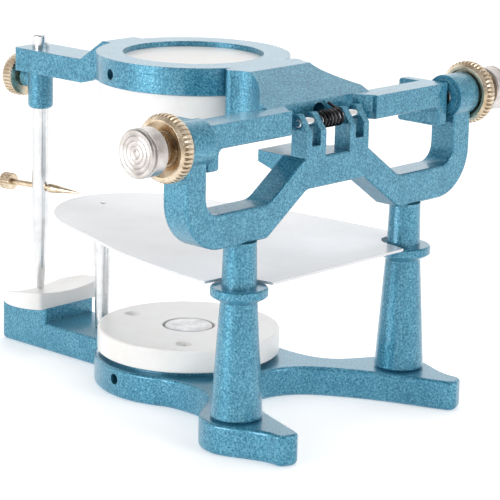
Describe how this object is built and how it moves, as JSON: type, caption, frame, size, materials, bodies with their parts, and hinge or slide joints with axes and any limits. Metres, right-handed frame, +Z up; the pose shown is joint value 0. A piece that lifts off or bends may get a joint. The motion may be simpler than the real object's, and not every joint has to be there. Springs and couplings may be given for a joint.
{
  "type": "dental articulator",
  "caption": "Bench instrument holding two casts on facing mounting plates; the upper frame swings about the condylar axis over a base with an incisal pin and table.",
  "frame": {"origin": "on the floor, in the middle of the box round the whole object", "axes": "+Z up; front (incisal pin) towards -Y; condylar axis along X"},
  "size_m": [0.1624, 0.1663, 0.1073],
  "materials": {
    "blue_hammered": "hammered enamel",
    "white_plastic": "satin",
    "white_sheet": "satin",
    "white_lacquer": "gloss",
    "brass": "turned",
    "nickel": "turned nickel plate",
    "polished_pin": "polished",
    "bright_steel": "bright",
    "zinc_steel": "zinc plated",
    "magnet_nickel": "plated",
    "black_steel": "blackened"
  },
  "bodies": {
    "base": {"base_frame": "blue_hammered", "rear_yoke": "blue_hammered", "post_screws": "zinc_steel", "lower_magnet_holder": "white_plastic", "lower_magnet": "magnet_nickel", "lower_set_screw": "black_steel", "plate_support_post": "white_lacquer", "incisal_table": "white_plastic", "table_screws": "zinc_steel", "centre_rod": "bright_steel"},
    "upper": {"upper_frame": "blue_hammered", "upper_magnet_holder": "white_plastic", "upper_magnet": "magnet_nickel", "upper_set_screw": "black_steel", "retaining_spring": "black_steel"},
    "pin": {"incisal_pin": "polished_pin"},
    "pointer": {"incisal_pointer": "brass", "pointer_knob": "brass"},
    "pin_lock": {"incisal_lock_screw": "brass"},
    "condyle_left": {"condyle_screw_left": "nickel"},
    "condyle_right": {"condyle_screw_right": "nickel"},
    "wheel_left": {"lock_wheel_left": "brass"},
    "wheel_right": {"lock_wheel_right": "brass"},
    "lower_plate": {"lower_mounting_plate": "white_plastic", "lower_steel_disc": "bright_steel"},
    "upper_plate": {"upper_mounting_plate": "white_plastic", "upper_steel_disc": "bright_steel"},
    "occlusal": {"occlusal_plate": "white_sheet"}
  },
  "joints": [
    {"name": "opening", "type": "hinge", "parent": "base", "child": "upper", "pos_m": [0, 0.05986, 0.0946], "axis": [-1, 0, 0], "range_deg": [0, 100]},
    {"name": "pin_height", "type": "slide", "parent": "upper", "child": "pin", "axis": [0, 0, 1], "range_m": [0, 0.012]},
    {"name": "pointer_reach", "type": "slide", "parent": "pin", "child": "pointer", "axis": [-0.1564, 0.9877, 0], "range_m": [-0.0004, 0.004]},
    {"name": "pin_lock_turn", "type": "hinge", "parent": "upper", "child": "pin_lock", "pos_m": [0, -0.06714, 0.0898], "axis": [0, 1, 0], "range_deg": [-180, 180]},
    {"name": "condyle_left_turn", "type": "hinge", "parent": "base", "child": "condyle_left", "pos_m": [0.07, 0.05986, 0.0946], "axis": [1, 0, 0], "range_deg": [-180, 180]},
    {"name": "condyle_right_turn", "type": "hinge", "parent": "base", "child": "condyle_right", "pos_m": [-0.07, 0.05986, 0.0946], "axis": [-1, 0, 0], "range_deg": [-180, 180]},
    {"name": "wheel_left_turn", "type": "hinge", "parent": "base", "child": "wheel_left", "pos_m": [0.07, 0.05986, 0.0946], "axis": [1, 0, 0], "range_deg": [-180, 180]},
    {"name": "wheel_right_turn", "type": "hinge", "parent": "base", "child": "wheel_right", "pos_m": [-0.068, 0.05986, 0.0946], "axis": [-1, 0, 0], "range_deg": [-180, 180]},
    {"name": "lower_plate_lift", "type": "slide", "parent": "base", "child": "lower_plate", "axis": [0, 0, 1], "range_m": [0, 0.025]},
    {"name": "upper_plate_drop", "type": "slide", "parent": "upper", "child": "upper_plate", "axis": [0, 0, -1], "range_m": [0, 0.02]},
    {"name": "occlusal_plate_lift", "type": "slide", "parent": "base", "child": "occlusal", "axis": [0, 0, 1], "range_m": [0, 0.008]}
  ]
}
